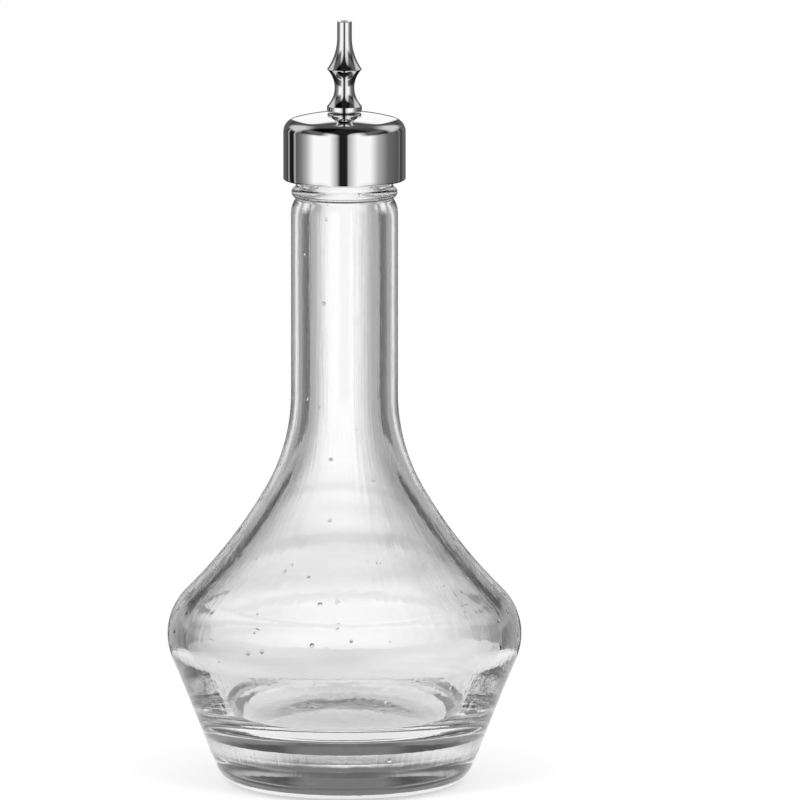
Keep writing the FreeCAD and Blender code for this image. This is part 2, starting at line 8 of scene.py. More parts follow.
# %% Load the frame
import json
import math
import bpy
import bmesh
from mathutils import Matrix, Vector

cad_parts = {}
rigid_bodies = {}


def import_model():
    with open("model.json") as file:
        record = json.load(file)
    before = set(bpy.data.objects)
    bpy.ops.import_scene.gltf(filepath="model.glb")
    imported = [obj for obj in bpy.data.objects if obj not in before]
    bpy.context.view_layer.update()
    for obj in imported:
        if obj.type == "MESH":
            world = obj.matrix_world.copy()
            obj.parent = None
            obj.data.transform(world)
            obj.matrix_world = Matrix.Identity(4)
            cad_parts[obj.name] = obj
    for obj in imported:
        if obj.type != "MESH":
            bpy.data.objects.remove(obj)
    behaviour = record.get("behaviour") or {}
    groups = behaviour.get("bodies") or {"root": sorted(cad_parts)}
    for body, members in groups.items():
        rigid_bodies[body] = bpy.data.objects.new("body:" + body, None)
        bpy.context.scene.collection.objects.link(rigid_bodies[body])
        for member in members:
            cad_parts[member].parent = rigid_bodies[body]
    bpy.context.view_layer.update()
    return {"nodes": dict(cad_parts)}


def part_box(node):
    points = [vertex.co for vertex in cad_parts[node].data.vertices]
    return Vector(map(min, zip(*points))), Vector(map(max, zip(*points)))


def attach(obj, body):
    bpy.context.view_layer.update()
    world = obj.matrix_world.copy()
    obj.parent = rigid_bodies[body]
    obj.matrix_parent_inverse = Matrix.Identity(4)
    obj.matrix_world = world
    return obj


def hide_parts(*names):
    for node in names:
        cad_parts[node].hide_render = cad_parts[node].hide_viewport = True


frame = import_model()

scene = bpy.context.scene
scene.view_settings.view_transform = "Standard"
print("solids:", sorted(frame["nodes"]))

# %% [markdown]
# ## A pen for outlines
# An outline could be typed as a long list of points, but then nobody can read the shape in it.
# This pen is one vertex that bmesh operators pull along: extruding it draws a straight line, and spinning
# it about a centre draws an arc. The outline keeps the radii that the maker of the bottle would know.

# %% Pen strokes
MM = 0.001


def start_at(bm, across, up):
    """Put the pen down at a distance from the axis and a height, both in millimetres."""
    return bm.verts.new((across * MM, 0, up * MM))


def run_to(bm, pen, across, up, pieces=1):
    """Draw a straight line, in several pieces where the surface needs rows."""
    start, end = pen.co.copy(), Vector((across * MM, 0, up * MM))
    for piece in range(pieces):
        pen = bmesh.ops.extrude_vert_indiv(bm, verts=[pen])["verts"][0]
        pen.co = start.lerp(end, (piece + 1) / pieces)
    return pen


def swing(bm, pen, across, up, degrees, pieces):
    """Draw an arc round a centre. Positive degrees turn anticlockwise, seen with +X to the right."""
    drawn = bmesh.ops.spin(
        bm, geom=[pen], cent=(across * MM, 0, up * MM), axis=(0, -1, 0),
        angle=math.radians(degrees), steps=pieces,
    )
    return next(item for item in drawn["geom_last"] if isinstance(item, bmesh.types.BMVert))


# %% [markdown]
# ## From an outline to a piece
# Spinning the outline once round the axis closes the surface, and merging doubles closes the poles where
# the outline touches the axis. The piece is smooth all over, except where two faces meet at a real corner.

# %% Turning and finishing
DOUBLE = 0.002


def turn_round(bm, steps):
    """Turn the outline once round the axis and join the points that fall together."""
    outline = bm.verts[:] + bm.edges[:]
    bmesh.ops.spin(
        bm, geom=outline, cent=(0, 0, 0), axis=(0, 0, 1), angle=math.tau, steps=steps, use_merge=True,
    )
    bmesh.ops.remove_doubles(bm, verts=bm.verts, dist=DOUBLE * MM)
    bmesh.ops.recalc_face_normals(bm, faces=bm.faces)


def make_piece(bm, name, body, node, corner_degrees=32):
    """Make an object of the mesh, seat it on its body and hide the solid whose place it takes."""
    mesh = bpy.data.meshes.new(name)
    bm.to_mesh(mesh)
    bm.free()
    mesh.polygons.foreach_set("use_smooth", [True] * len(mesh.polygons))
    mesh.set_sharp_from_angle(angle=math.radians(corner_degrees))
    piece = bpy.data.objects.new(name, mesh)
    scene.collection.objects.link(piece)
    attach(piece, body)
    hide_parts(node)
    low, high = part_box(node)
    print(f"{name}: {len(mesh.polygons)} faces, stands for {node}, z {low.z:.4f} to {high.z:.4f}")
    return piece


# %% [markdown]
# ## The glass outline
# The bottle is blown in a mould, and its outside runs from the heel up a straight taper, over a round
# shoulder, along a hollow flank and into the neck. The inside follows it with a wall of about 3.4 mm, and
# ends in a flat floor with round corners over a thick base. All these curves are tangent, so one helper
# finds where each arc starts and draws either side.

# %% One side of the vessel
WIDEST_UP = 29.6
NECK_START, NECK_TOP = 77.7, 113.4
FLANK_FOOT, FLANK_HEAD = 45.0, 30.3


def draw_vessel(bm, pen, floor, flat, heel, widest, shoulder, throat, taper_rows):
    """Draw heel, taper, shoulder, flank and the bend into the neck, from the floor up."""
    hub = Vector((widest - shoulder, WIDEST_UP))
    heel_hub = Vector((flat, floor + heel))
    run, rise = hub - heel_hub
    slope = math.degrees(math.atan2(run, rise) + math.asin((shoulder - heel) / math.hypot(run, rise)))
    cos_foot, sin_foot = math.cos(math.radians(FLANK_FOOT)), math.sin(math.radians(FLANK_FOOT))
    cos_head, sin_head = math.cos(math.radians(FLANK_HEAD)), math.sin(math.radians(FLANK_HEAD))
    foot = hub + shoulder * Vector((cos_foot, sin_foot))
    run_in, run_up = foot.x - throat, NECK_START - foot.y
    bend_in, bend_up = 1 - cos_head, sin_head
    flank_in, flank_up = cos_head - cos_foot, sin_foot - sin_head
    scale = flank_in * bend_up - bend_in * flank_up
    flank = (run_in * bend_up - bend_in * run_up) / scale
    bend = (flank_in * run_up - flank_up * run_in) / scale
    flank_hub = foot + flank * Vector((cos_foot, sin_foot))
    taper_end = hub + shoulder * Vector((math.cos(math.radians(slope)), -math.sin(math.radians(slope))))

    pen = run_to(bm, pen, flat, floor, 3)
    pen = swing(bm, pen, *heel_hub, 90 - slope, 20)
    pen = run_to(bm, pen, *taper_end, taper_rows)
    pen = swing(bm, pen, *hub, slope + FLANK_FOOT, 30)
    pen = swing(bm, pen, *flank_hub, FLANK_HEAD - FLANK_FOOT, 14)
    pen = swing(bm, pen, throat + bend, NECK_START, -FLANK_HEAD, 18)
    print(f"side of {widest:.1f} mm: taper leans {slope:.1f} degrees, flank radius {flank:.1f} mm")
    return pen


# %% [markdown]
# ## The glass bottle
# The outside is drawn first: the pushed-up middle of the underside, the vessel, the neck, the groove with
# its bead ring and the plain screw finish. The inside is drawn from its floor up to the mouth, and one
# short edge over the rim joins the two, so the turned glass is a single closed skin.

# %% Draw and turn the glass
BODY, BASE_FLAT, HEEL, SHOULDER = 35.0, 20.3, 5.55, 11.75
WALL, FLOOR, FLOOR_FLAT, FLOOR_CORNER = 3.4, 12.8, 18.7, 8.1
RIM, BORE, NECK = 129.3, 7.1, 10.55
NECK_ROUND, NECK_TURN = 5.45, 33.4
GROOVE, FINISH = 9.65, 9.15
GROOVE_TOP, FINISH_FOOT = 119.0, 119.9
BEAD, BEAD_HUB, BEAD_UP = 1.05, 9.4, 117.7
LIP = 0.6
PUSHUP, PUSHUP_DEPTH = 17.0, 0.3

glass = bmesh.new()
vault = (PUSHUP ** 2 + PUSHUP_DEPTH ** 2) / (2 * PUSHUP_DEPTH)
pen = start_at(glass, 0, PUSHUP_DEPTH)
pen = swing(glass, pen, 0, PUSHUP_DEPTH - vault, -math.degrees(math.asin(PUSHUP / vault)), 14)
pen = draw_vessel(glass, pen, 0, BASE_FLAT, HEEL, BODY, SHOULDER, NECK, 56)
pen = run_to(glass, pen, NECK, NECK_TOP, 8)
pen = swing(glass, pen, NECK - NECK_ROUND, NECK_TOP, NECK_TURN, 8)
bead_turn = math.degrees(math.acos((GROOVE - BEAD_HUB) / BEAD))
pen = run_to(glass, pen, GROOVE, BEAD_UP - BEAD * math.sin(math.radians(bead_turn)))
pen = swing(glass, pen, BEAD_HUB, BEAD_UP, 2 * bead_turn, 14)
pen = run_to(glass, pen, GROOVE, GROOVE_TOP)
pen = run_to(glass, pen, FINISH, FINISH_FOOT)
pen = run_to(glass, pen, FINISH, RIM - LIP, 42)
outer_lip = swing(glass, pen, FINISH - LIP, RIM - LIP, 90, 6)

pen = start_at(glass, 0, FLOOR)
pen = draw_vessel(glass, pen, FLOOR, FLOOR_FLAT, FLOOR_CORNER, BODY - WALL, SHOULDER - WALL, BORE, 8)
pen = run_to(glass, pen, BORE, RIM - LIP, 10)
inner_lip = swing(glass, pen, BORE + LIP, RIM - LIP, -90, 6)
glass.edges.new((outer_lip, inner_lip))
turn_round(glass, 256)
print("glass skin:", len(glass.verts), "vertices")

# %% [markdown]
# ## The mould seam
# The body mould closes on a base plate, and a little hot glass creeps into that joint. On the finished
# bottle it is a low, uneven ridge round the foot of the taper, and the light breaks along it. The rows there
# lie close together, so the ridge is pushed out of them, and waves of different length keep it uneven.

# %% Push out the seam
SEAM_UP, SEAM_HALF_WIDTH, SEAM_HEIGHT = 6.4, 0.6, 0.08
SEAM_WANDER, SEAM_CHANGE = 0.15, 0.3


def unevenness(angle):
    """A height between about -1 and 1 that wanders round the bottle and meets itself again."""
    waves = ((5, 0.4), (13, 1.7), (29, 0.2), (47, 2.6))
    return sum(math.sin(count * angle + start) for count, start in waves) / len(waves)


raised = 0
for vert in glass.verts:
    across, up = vert.co.xy.length / MM, vert.co.z / MM
    if across < BASE_FLAT or abs(up - SEAM_UP) > 3 * SEAM_HALF_WIDTH:
        continue
    uneven = unevenness(math.atan2(vert.co.y, vert.co.x))
    off = (up - SEAM_UP - SEAM_WANDER * uneven) / SEAM_HALF_WIDTH
    ridge = SEAM_HEIGHT * (1 + SEAM_CHANGE * uneven) * math.exp(-off * off)
    vert.co.xy *= (across + ridge) / across
    raised += 1
print("seam points raised:", raised)

# %% [markdown]
# ## The glass screw thread
# A thread on glass is soft-edged and grows out of the wall, so it isn't a separate coil: the rows of the
# finish are pushed outwards where the ridge passes. The ridge climbs one pitch in each turn, and it fades
# at both ends, as a moulded one does.

# %% Push out the thread
PITCH, TURNS = 3.175, 1.5
THREAD_DEPTH, THREAD_HALF_WIDTH = 1.0, 0.98
THREAD_BELOW_RIM, ON_WALL = 1.9, 0.01
THREAD_START = RIM - THREAD_BELOW_RIM - TURNS * PITCH
FADE = 40.0

pushed = 0
for vert in glass.verts:
    radius, up = math.hypot(vert.co.x, vert.co.y) / MM, vert.co.z / MM
    if abs(radius - FINISH) > ON_WALL or not FINISH_FOOT < up < RIM - LIP:
        continue
    angle = math.degrees(math.atan2(vert.co.y, vert.co.x)) % 360
    for turned in (angle, angle + 360):
        off = (up - THREAD_START - PITCH * turned / 360) / THREAD_HALF_WIDTH
        if turned > TURNS * 360 or abs(off) >= 1:
            continue
        fade = min(1, turned / FADE, (TURNS * 360 - turned) / FADE)
        ridge = THREAD_DEPTH * math.sqrt(1 - off * off) * math.sin(fade * math.pi / 2)
        vert.co.xy *= (FINISH + ridge) / radius
        pushed += 1
bmesh.ops.recalc_face_normals(glass, faces=glass.faces)
glass_bottle = make_piece(glass, "bottle_glass", "bottle", "glass_bottle")
print("thread rows pushed out:", pushed)

# %% [markdown]
# ## The cap shell
# The cap's outside is a thin metal cup, pressed from sheet: a straight skirt with a rolled hem, a rounded
# edge and a shallow dome with a hole for the spout. The outline goes round the section once and closes.

# %% Draw and turn the shell
CAP, CAP_FOOT, SKIRT = 12.05, 120.208, 9.5
SHELL_WALL, CROWN, DOME = 0.6, 2.6, 37.8
CROWN_UP = CAP_FOOT + SKIRT
DOME_DROP = math.sqrt((DOME - CROWN) ** 2 - (CAP - CROWN) ** 2)
SHANK_HOLE = 2.1

shell = bmesh.new()
dome_up = CROWN_UP - DOME_DROP
crown_turn = math.degrees(math.atan2(DOME_DROP, CAP - CROWN))
hole_turn = math.degrees(math.acos(SHANK_HOLE / DOME))
under_turn = math.degrees(math.acos(SHANK_HOLE / (DOME - SHELL_WALL)))
first = start_at(shell, CAP - SHELL_WALL, CAP_FOOT + SHELL_WALL / 2)
pen = swing(shell, first, CAP - SHELL_WALL / 2, CAP_FOOT + SHELL_WALL / 2, 180, 12)
pen = run_to(shell, pen, CAP, CROWN_UP, 6)
pen = swing(shell, pen, CAP - CROWN, CROWN_UP, crown_turn, 18)
pen = swing(shell, pen, 0, dome_up, hole_turn - crown_turn, 14)
under = (DOME - SHELL_WALL) * math.sin(math.radians(under_turn))
pen = run_to(shell, pen, SHANK_HOLE, dome_up + under)
pen = swing(shell, pen, 0, dome_up, crown_turn - under_turn, 10)
pen = swing(shell, pen, CAP - CROWN, CROWN_UP, -crown_turn, 12)
shell.edges.new((pen, first))
turn_round(shell, 192)
cap_shell = make_piece(shell, "cap_metal", "cap", "cap_shell")

# %% [markdown]
# ## The dasher spout
# The spout is turned from bar on a lathe: a shank that goes through the cap, a collar that sits on the
# dome, a hollow waist, a sharp ridge that catches drips, and a slim tube with a fine hole.

# %% Draw and turn the spout
DOME_TOP, SHANK_FOOT = 133.6, 126.9
SPOUT_BORE, SHANK, COLLAR, COLLAR_EDGE = 0.7, 2.0, 3.44, 0.35
WAIST, WAIST_ROUND, WAIST_RISE = 1.95, 5.25, 4.8
WAIST_UP = DOME_TOP + WAIST_RISE
RIDGE, RIDGE_LAND = 3.4, 0.08
TIP, TIP_ROUND, TIP_LENGTH, TIP_EDGE = 1.45, 11.0, 3.2, 0.15

spout = bmesh.new()
waist_hub = WAIST + WAIST_ROUND
collar_turn = math.degrees(math.acos((waist_hub - COLLAR) / WAIST_ROUND))
ridge_turn = math.degrees(math.acos((waist_hub - RIDGE) / WAIST_ROUND))
tip_turn = math.degrees(math.acos(1 - (RIDGE - TIP) / TIP_ROUND))
collar_top = WAIST_UP - WAIST_ROUND * math.sin(math.radians(collar_turn))
ridge_top = WAIST_UP + WAIST_ROUND * math.sin(math.radians(ridge_turn)) + RIDGE_LAND
tip_foot = ridge_top + TIP_ROUND * math.sin(math.radians(tip_turn))
first = start_at(spout, SPOUT_BORE, SHANK_FOOT)
pen = run_to(spout, first, SHANK, SHANK_FOOT)
pen = run_to(spout, pen, SHANK, DOME_TOP, 4)
pen = run_to(spout, pen, COLLAR - COLLAR_EDGE, DOME_TOP)
pen = swing(spout, pen, COLLAR - COLLAR_EDGE, DOME_TOP + COLLAR_EDGE, 90, 8)
pen = run_to(spout, pen, COLLAR, collar_top, 2)
pen = swing(spout, pen, waist_hub, WAIST_UP, -collar_turn - ridge_turn, 32)
pen = run_to(spout, pen, RIDGE, ridge_top)
pen = swing(spout, pen, TIP + TIP_ROUND, tip_foot, -tip_turn, 20)
pen = run_to(spout, pen, TIP, tip_foot + TIP_LENGTH - TIP_EDGE, 4)
pen = swing(spout, pen, TIP - TIP_EDGE, tip_foot + TIP_LENGTH - TIP_EDGE, 90, 5)
pen = run_to(spout, pen, SPOUT_BORE, tip_foot + TIP_LENGTH)
spout.edges.new((pen, first))
turn_round(spout, 128)
dasher_spout = make_piece(spout, "spout_turned", "cap", "dasher_spout")

# %% [markdown]
# ## The thread liner
# Inside the metal shell sits a moulded plastic liner that carries the cap's own screw thread. Its body is
# turned like the rest.

# %% Draw and turn the liner
LINER, LINER_BORE, LINER_RAISED = 11.4, 10.45, 0.5
LINER_FOOT = CAP_FOOT + LINER_RAISED
CEILING, LINER_PLAY = 130.5, 0.05
INSET = SHELL_WALL + LINER_PLAY

liner = bmesh.new()
liner_turn = math.degrees(math.acos(SHANK_HOLE / (DOME - INSET)))
first = start_at(liner, LINER_BORE, LINER_FOOT)
pen = run_to(liner, first, LINER, LINER_FOOT)
pen = run_to(liner, pen, LINER, CROWN_UP, 4)
pen = swing(liner, pen, CAP - CROWN, CROWN_UP, crown_turn, 10)
pen = swing(liner, pen, 0, dome_up, liner_turn - crown_turn, 8)
pen = run_to(liner, pen, SHANK_HOLE, CEILING)
pen = run_to(liner, pen, LINER_BORE, CEILING, 3)
liner.edges.new((pen, first))
turn_round(liner, 128)
print("liner body:", len(liner.faces), "faces")

# %% [markdown]
# ### The liner's ridge
# The ridge is a small section that spins and rises at once, which is what the spin operator's step vector is
# for. Its root is sunk a little into the wall, and its crest keeps a little play to the glass.

# %% Wind the ridge
LINER_TURNS, RIDGE_STEPS = 1.25, 120
ROOT_SUNK, CREST_PLAY = 0.3, 0.3
ROOT_HALF, CREST_HALF = 0.65, 0.3
RIDGE_ROOT, RIDGE_CREST = LINER_BORE + ROOT_SUNK, FINISH + CREST_PLAY
ridge_up = THREAD_START + PITCH / 2
corner = start_at(liner, RIDGE_ROOT, ridge_up - ROOT_HALF)
pen = run_to(liner, corner, RIDGE_CREST, ridge_up - CREST_HALF)
pen = run_to(liner, pen, RIDGE_CREST, ridge_up + CREST_HALF)
pen = run_to(liner, pen, RIDGE_ROOT, ridge_up + ROOT_HALF)
liner.edges.new((pen, corner))
section = [vert for vert in liner.verts if not vert.link_faces]
section_edges = [edge for edge in liner.edges if not edge.link_faces]
end_cap = bmesh.ops.contextual_create(liner, geom=section_edges)["faces"]
bmesh.ops.spin(
    liner, geom=section + section_edges + end_cap, cent=(0, 0, 0), axis=(0, 0, 1),
    dvec=(0, 0, PITCH * LINER_TURNS / RIDGE_STEPS * MM), angle=math.tau * LINER_TURNS, steps=RIDGE_STEPS,
)
bmesh.ops.recalc_face_normals(liner, faces=liner.faces)
thread_liner = make_piece(liner, "liner_moulded", "cap", "cap_thread_liner")

# %% [markdown]
# ## The seals
# A soft washer closes the cap on the glass rim, and a small gasket seals the spout's shank under the cap.
# Both are flat rings with slightly rounded outer edges, as moulded rubber has.

# %% Draw and turn the two rings
def make_seal(name, body, node, inner, outer, foot, thickness, edge):
    """Turn a flat ring with rounded outer edges."""
    ring = bmesh.new()
    first = start_at(ring, inner, foot)
    pen = run_to(ring, first, outer - edge, foot, 3)
    pen = swing(ring, pen, outer - edge, foot + edge, 90, 4)
    pen = run_to(ring, pen, outer, foot + thickness - edge)
    pen = swing(ring, pen, outer - edge, foot + thickness - edge, 90, 4)
    pen = run_to(ring, pen, inner, foot + thickness, 3)
    ring.edges.new((pen, first))
    turn_round(ring, 96)
    return make_piece(ring, name, body, node)


WASHER_HOLE, WASHER, WASHER_THICK, WASHER_EDGE = 6.8, 10.2, 1.2, 0.12
GASKET, GASKET_THICK, GASKET_EDGE = 3.5, 0.8, 0.1
GASKET_FOOT = CEILING - GASKET_THICK
seal_washer = make_seal(
    "washer_soft", "washer", "seal_washer", WASHER_HOLE, WASHER, RIM, WASHER_THICK, WASHER_EDGE,
)
spout_gasket = make_seal(
    "gasket_soft", "cap", "spout_gasket", SHANK_HOLE, GASKET, GASKET_FOOT, GASKET_THICK, GASKET_EDGE,
)

# %% [markdown]
# ## The spout nut
# A thin hexagon nut clamps the spout from inside the cap. A circle of six sides and a round hole are
# bridged into one flat ring, which is then pulled up into a nut and has its lower outer edges taken off.

# %% Make the nut
NUT_ACROSS, NUT_FOOT, NUT_THICK, NUT_EDGE = 7.0, 127.5, 2.2, 0.25
NUT_CORNER = NUT_ACROSS / 2 / math.cos(math.radians(30))
nut = bmesh.new()
bmesh.ops.create_circle(nut, cap_ends=False, radius=NUT_CORNER * MM, segments=6)
bmesh.ops.create_circle(nut, cap_ends=False, radius=SHANK_HOLE * MM, segments=48)
bmesh.ops.bridge_loops(nut, edges=nut.edges[:])
pulled = bmesh.ops.extrude_face_region(nut, geom=nut.faces[:])["geom"]
top = [item for item in pulled if isinstance(item, bmesh.types.BMVert)]
bmesh.ops.translate(nut, verts=top, vec=(0, 0, NUT_THICK * MM))
bmesh.ops.translate(nut, verts=nut.verts, vec=(0, 0, NUT_FOOT * MM))
half_way = (NUT_FOOT + NUT_THICK / 2) * MM
rims = [
    edge for edge in nut.edges
    if all(vert.co.xy.length > NUT_ACROSS / 2 * MM and vert.co.z < half_way for vert in edge.verts)
]
bmesh.ops.bevel(
    nut, geom=rims, offset=NUT_EDGE * MM, offset_type="OFFSET", affect="EDGES", segments=2, profile=0.5,
    material=-1,
)
bmesh.ops.recalc_face_normals(nut, faces=nut.faces)
spout_nut = make_piece(nut, "nut_plain", "cap", "spout_nut")

# %% [markdown]
# ## Tools for materials
# A finish is a small network of nodes. These helpers add a node and wire its inputs in one line: a number
# is typed into a socket, and anything else is linked to it.

# %% Node helpers
def add_node(tree, kind, settings=None, **inputs):
    """Add a node, set its options and fill its inputs by name."""
    node = tree.nodes.new(kind)
    for name, setting in (settings or {}).items():
        setattr(node, name, setting)
    for name, given in inputs.items():
        socket = node.inputs[name.replace("_", " ")]
        if isinstance(given, bpy.types.NodeSocket):
            tree.links.new(given, socket)
        else:
            socket.default_value = given
    return node


def add_sum(tree, operation, *values):
    """Add one step of arithmetic and give back its result."""
    node = tree.nodes.new("ShaderNodeMath")
    node.operation = operation
    for socket, given in zip(node.inputs, values):
        if isinstance(given, bpy.types.NodeSocket):
            tree.links.new(given, socket)
        else:
            socket.default_value = given
    return node.outputs[0]


def add_ramp(tree, given, stops, between="LINEAR"):
    """A grey scale read at a number from 0 to 1; stops are pairs of place and brightness."""
    node = add_node(tree, "ShaderNodeValToRGB", Fac=given)
    ramp = node.color_ramp
    ramp.interpolation = between
    while len(ramp.elements) < len(stops):
        ramp.elements.new(1.0)
    for element, (place, level) in zip(ramp.elements, stops):
        element.position = place
        element.color = (level, level, level, 1)
    return node.outputs["Color"]


def stretch(tree, given, by):
    """Multiply a place by three numbers, one for each axis."""
    node = add_node(tree, "ShaderNodeVectorMath", {"operation": "MULTIPLY"}, Vector=given)
    node.inputs[1].default_value = by
    return node.outputs[0]


def add_tint(tree, share, first, second):
    """Go from the first colour to the second as the share goes from 0 to 1."""
    node = add_node(tree, "ShaderNodeMix", {"data_type": "RGBA"}, Factor=share)
    node.inputs[6].default_value = (*first, 1)
    node.inputs[7].default_value = (*second, 1)
    return node.outputs[2]


# %% [markdown]
# ## A new finish
# Every finish starts from a plain surface shader, and its patterns are placed by Object coordinates, so they
# stay with the piece when it moves.

# %% Finish helpers
def new_finish(name):
    """Start a material and give back its nodes, its shader and the place on the piece."""
    material = bpy.data.materials.new(name)
    material.use_nodes = True
    tree = material.node_tree
    spot = add_node(tree, "ShaderNodeTexCoord").outputs["Object"]
    return material, tree, tree.nodes["Principled BSDF"], spot


def dress(piece, material):
    piece.data.materials.clear()
    piece.data.materials.append(material)
    print(f"{piece.name}: {material.name}")


# %% [markdown]
# ## Clear glass
# Clear glass has almost no colour of its own. What shows it is the way it bends what stands behind it, so
# most of the finish is in the surface. The colour only has painted shade: soft grey clouds, wider than they
# are high, and thinner level layers. They stand in for the grey shading that a slightly thicker wall gives by
# bending the light.

# %% The glass and its painted shade clouds
clear_glass, tree, shader, spot = new_finish("clear_glass")
shader.inputs["Transmission Weight"].default_value = 1.0
shader.inputs["Roughness"].default_value = 0.0
shader.inputs["IOR"].default_value = 1.5
SHADE_CLOUD_SHAPE, SHADE_LAYER_SHAPE = (16, 16, 75), (12, 12, 190)
cloudy = stretch(tree, spot, SHADE_CLOUD_SHAPE)
shade_clouds = add_node(tree, "ShaderNodeTexNoise", Vector=cloudy, Scale=1.0, Detail=2.0, Roughness=0.5)
level = add_node(tree, "ShaderNodeSeparateXYZ", Vector=spot).outputs["Z"]
below_neck = add_ramp(tree, add_sum(tree, "DIVIDE", level, NECK_START * MM), [(0.75, 1.0), (1.0, 0.5)])
# Painted shade: grey clouds and level layers darken the glass colour in place of the shading from light bent
# in the wall.
painted_shade = add_sum(tree, "MULTIPLY", shade_clouds.outputs["Fac"], below_neck)
clear = add_ramp(tree, painted_shade, [(0.42, 0.995), (0.67, 0.86)], "EASE")
layered = stretch(tree, spot, SHADE_LAYER_SHAPE)
shade_layers = add_node(tree, "ShaderNodeTexNoise", Vector=layered, Scale=1.0, Detail=1.0, Roughness=0.5)
shade_layer = add_sum(tree, "MULTIPLY", shade_layers.outputs["Fac"], below_neck)
clear = add_sum(tree, "MULTIPLY", clear, add_ramp(tree, shade_layer, [(0.5, 1.0), (0.66, 0.87)], "EASE"))
tree.links.new(clear, shader.inputs["Base Color"])
print("glass colour: clouds and layers, fainter towards the neck at", NECK_START, "mm")

# %% [markdown]
# ## Streaks and ripples
# Hot glass is drawn along the mould, and that leaves faint streaks up the bottle: noise that only changes
# with the direction from the axis, and slowly with height. Fine ripples run all over. Both are bumps, so they
# bend the light and leave the outline alone.

# %% Streaks and ripples
STREAK_DEPTH, RIPPLE_DEPTH = 0.02, 0.03
outward = stretch(tree, spot, (1, 1, 0))
round_it = add_node(tree, "ShaderNodeVectorMath", {"operation": "NORMALIZE"}, Vector=outward)
drawn = add_node(tree, "ShaderNodeVectorMath", {"operation": "MULTIPLY_ADD"}, Vector=spot)
drawn.inputs[1].default_value = (0, 0, 3)
tree.links.new(round_it.outputs[0], drawn.inputs[2])
streaks = add_node(
    tree, "ShaderNodeTexNoise", Vector=drawn.outputs[0], Scale=16.0, Detail=3.0, Roughness=0.55,
)
soft = add_node(
    tree, "ShaderNodeBump", Strength=1.0, Distance=STREAK_DEPTH * MM, Height=streaks.outputs["Fac"],
)
ripple = add_node(tree, "ShaderNodeTexNoise", Vector=spot, Scale=280.0, Detail=2.0, Roughness=0.5)
rippled = add_node(
    tree, "ShaderNodeBump", Strength=1.0, Distance=RIPPLE_DEPTH * MM, Height=ripple.outputs["Fac"],
    Normal=soft.outputs["Normal"],
)
print(f"streaks {STREAK_DEPTH} mm and ripples {RIPPLE_DEPTH} mm deep")

# %% [markdown]
# ## The slope over the seam, and seeds
# Over the mould seam the skin of the glass cooled first and lies at a slight slope, which shows as a bright
# band with a ragged edge. Tiny seeds and pits catch light. These are bumps as well.

# %% The slope and the seeds
SLOPE_HEAD, SLOPE_DEPTH, RAGGED = 10.0, 0.92, 0.6
PIT_DEPTH = 0.6
ragged = add_node(
    tree, "ShaderNodeTexNoise", Vector=round_it.outputs[0], Scale=20.0, Detail=5.0, Roughness=0.75,
)
shifted = add_sum(tree, "MULTIPLY_ADD", ragged.outputs["Fac"], RAGGED * MM, level)
slope_length = SLOPE_HEAD - SEAM_UP
slope_start = (SEAM_UP + RAGGED / 2) / slope_length
along = add_sum(tree, "MULTIPLY_ADD", shifted, 1 / (slope_length * MM), -slope_start)
seam = add_node(
    tree, "ShaderNodeBump", Strength=1.0, Distance=SLOPE_DEPTH * MM,
    Height=add_ramp(tree, along, [(0.0, 0.0), (0.44, 0.49), (1.0, 1.0)]), Normal=rippled.outputs["Normal"],
)
cells = add_node(tree, "ShaderNodeTexVoronoi", Vector=spot, Scale=130.0)
seed = add_ramp(tree, cells.outputs["Distance"], [(0.0, 1.0), (0.03, 0.9), (0.06, 0.0)])
pits = add_node(
    tree, "ShaderNodeBump", Strength=0.5, Distance=PIT_DEPTH * MM, Height=seed,
    Normal=seam.outputs["Normal"],
)
tree.links.new(pits.outputs["Normal"], shader.inputs["Normal"])
dress(glass_bottle, clear_glass)

# %% [markdown]
# ## Polished metal
# The cap and the spout are bright as mirrors, so their looks come from what stands round them. Hair-fine
# rings from polishing and slight hand marks keep the mirror from looking like a computer's.

# %% The metal finishes
def make_polished(name, colour, base_roughness, ring_scale):
    """A mirror with slightly duller smears and fine rings round the axis."""
    material, tree, shader, spot = new_finish(name)
    shader.inputs["Metallic"].default_value = 1.0
    smear = add_node(tree, "ShaderNodeTexNoise", Vector=spot, Scale=220.0, Detail=4.0, Roughness=0.6)
    low, high = base_roughness
    rough = add_ramp(tree, smear.outputs["Fac"], [(0.35, low), (0.7, high)])
    tree.links.new(rough, shader.inputs["Roughness"])
    darker = [0.94 * part for part in colour]
    tint = add_tint(tree, smear.outputs["Fac"], colour, darker)
    tree.links.new(tint, shader.inputs["Base Color"])
    parts = add_node(tree, "ShaderNodeSeparateXYZ", Vector=spot)
    rings = add_node(
        tree, "ShaderNodeTexNoise", {"noise_dimensions": "1D"}, W=parts.outputs["Z"],
        Scale=ring_scale, Detail=3.0,
    )
    bump = add_node(tree, "ShaderNodeBump", Strength=0.03, Distance=0.0001, Height=rings.outputs["Fac"])
    tree.links.new(bump.outputs["Normal"], shader.inputs["Normal"])
    return material


dress(cap_shell, make_polished("polished_metal", (0.97, 0.97, 0.97), (0.0, 0.02), 4000.0))
dress(dasher_spout, make_polished("spout_metal", (0.95, 0.95, 0.95), (0.01, 0.05), 6000.0))
dress(spout_nut, make_polished("nut_metal", (0.62, 0.62, 0.63), (0.2, 0.35), 9000.0))

# %% [markdown]
# ## Plastic and rubber
# The liner is natural white plastic with a fine moulded grain. The seals are soft white rubber, a little
# cloudy and dull. They only show when the cap is off, but then they are seen from close by.

